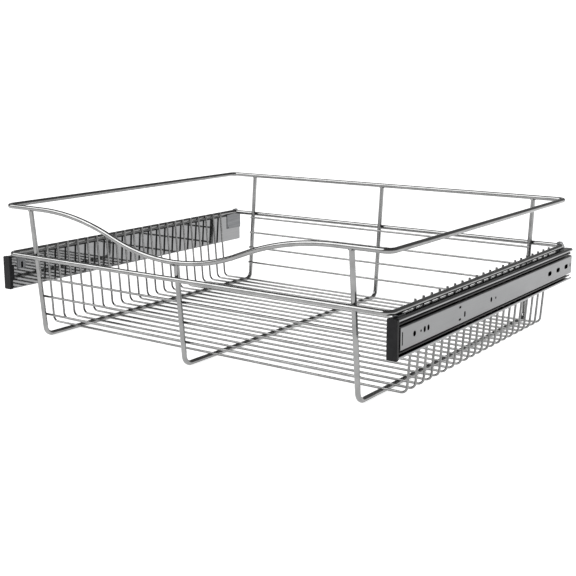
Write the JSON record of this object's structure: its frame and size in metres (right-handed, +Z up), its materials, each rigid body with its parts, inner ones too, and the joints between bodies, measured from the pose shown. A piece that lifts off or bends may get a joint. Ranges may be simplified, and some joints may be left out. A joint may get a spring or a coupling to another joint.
{
  "type": "pull-out cabinet basket",
  "caption": "Chrome wire basket on two side-mounted ball-bearing slides that pull it out of a cabinet or closet, with a dipped front rim and black slide caps.",
  "frame": {"origin": "centre of the closed object's footprint, at the height of the underside of the bottom wires", "axes": "+X to the user's right across the opening, +Y from the front towards the back of the cabinet, +Z up"},
  "size_m": [0.612, 0.5022, 0.1805],
  "materials": {
    "chrome_wire": "satin",
    "zinc_steel": "bright zinc plated",
    "bracket_steel": "zinc plated",
    "cage_steel": "pressed strip",
    "ball_steel": "polished",
    "black_plastic": "fine matte"
  },
  "bodies": {
    "cabinet_members": {"cabinet_member_left": "zinc_steel", "cabinet_member_right": "zinc_steel", "rear_bumper_left": "black_plastic", "rear_bumper_right": "black_plastic"},
    "basket": {"top_rim": "chrome_wire", "middle_rim": "chrome_wire", "frame_wire_left": "chrome_wire", "frame_wire_middle": "chrome_wire", "frame_wire_right": "chrome_wire", "cross_wire_01": "chrome_wire", "cross_wire_02": "chrome_wire", "cross_wire_03": "chrome_wire", "cross_wire_04": "chrome_wire", "cross_wire_05": "chrome_wire", "cross_wire_06": "chrome_wire", "cross_wire_07": "chrome_wire", "cross_wire_08": "chrome_wire", "cross_wire_09": "chrome_wire", "cross_wire_10": "chrome_wire", "cross_wire_11": "chrome_wire", "cross_wire_12": "chrome_wire", "cross_wire_13": "chrome_wire", "cross_wire_14": "chrome_wire", "cross_wire_15": "chrome_wire", "cross_wire_16": "chrome_wire", "cross_wire_17": "chrome_wire", "cross_wire_18": "chrome_wire", "cross_wire_19": "chrome_wire", "cross_wire_20": "chrome_wire", "cross_wire_21": "chrome_wire", "front_wire_1": "chrome_wire", "front_wire_2": "chrome_wire", "front_wire_3": "chrome_wire", "front_wire_4": "chrome_wire", "back_wire_1": "chrome_wire", "back_wire_2": "chrome_wire", "back_wire_3": "chrome_wire", "back_wire_4": "chrome_wire", "basket_member_left": "zinc_steel", "front_cap_left": "black_plastic", "front_bracket_left": "bracket_steel", "rear_bracket_left": "bracket_steel", "basket_member_right": "zinc_steel", "front_cap_right": "black_plastic", "front_bracket_right": "bracket_steel", "rear_bracket_right": "bracket_steel"},
    "middle_left": {"middle_member_left": "zinc_steel"},
    "outer_row_left": {"outer_cage_left": "cage_steel", "outer_balls_left": "ball_steel"},
    "inner_row_left": {"inner_cage_left": "cage_steel", "inner_balls_left": "ball_steel"},
    "middle_right": {"middle_member_right": "zinc_steel"},
    "outer_row_right": {"outer_cage_right": "cage_steel", "outer_balls_right": "ball_steel"},
    "inner_row_right": {"inner_cage_right": "cage_steel", "inner_balls_right": "ball_steel"}
  },
  "joints": [
    {"name": "basket_slide", "type": "slide", "parent": "cabinet_members", "child": "basket", "axis": [0, -1, 0], "range_m": [0, 0.5]},
    {"name": "middle_slide_left", "type": "slide", "parent": "cabinet_members", "child": "middle_left", "axis": [0, -1, 0], "range_m": [0, 0.25]},
    {"name": "outer_row_slide_left", "type": "slide", "parent": "cabinet_members", "child": "outer_row_left", "axis": [0, -1, 0], "range_m": [0, 0.375]},
    {"name": "inner_row_slide_left", "type": "slide", "parent": "cabinet_members", "child": "inner_row_left", "axis": [0, -1, 0], "range_m": [0, 0.125]},
    {"name": "middle_slide_right", "type": "slide", "parent": "cabinet_members", "child": "middle_right", "axis": [0, -1, 0], "range_m": [0, 0.25]},
    {"name": "outer_row_slide_right", "type": "slide", "parent": "cabinet_members", "child": "outer_row_right", "axis": [0, -1, 0], "range_m": [0, 0.375]},
    {"name": "inner_row_slide_right", "type": "slide", "parent": "cabinet_members", "child": "inner_row_right", "axis": [0, -1, 0], "range_m": [0, 0.125]}
  ],
  "couplings": [
    {"joint": "middle_slide_left", "follows": "basket_slide", "ratio": 0.5},
    {"joint": "outer_row_slide_left", "follows": "basket_slide", "ratio": 0.75},
    {"joint": "inner_row_slide_left", "follows": "basket_slide", "ratio": 0.25},
    {"joint": "middle_slide_right", "follows": "basket_slide", "ratio": 0.5},
    {"joint": "outer_row_slide_right", "follows": "basket_slide", "ratio": 0.75},
    {"joint": "inner_row_slide_right", "follows": "basket_slide", "ratio": 0.25}
  ]
}
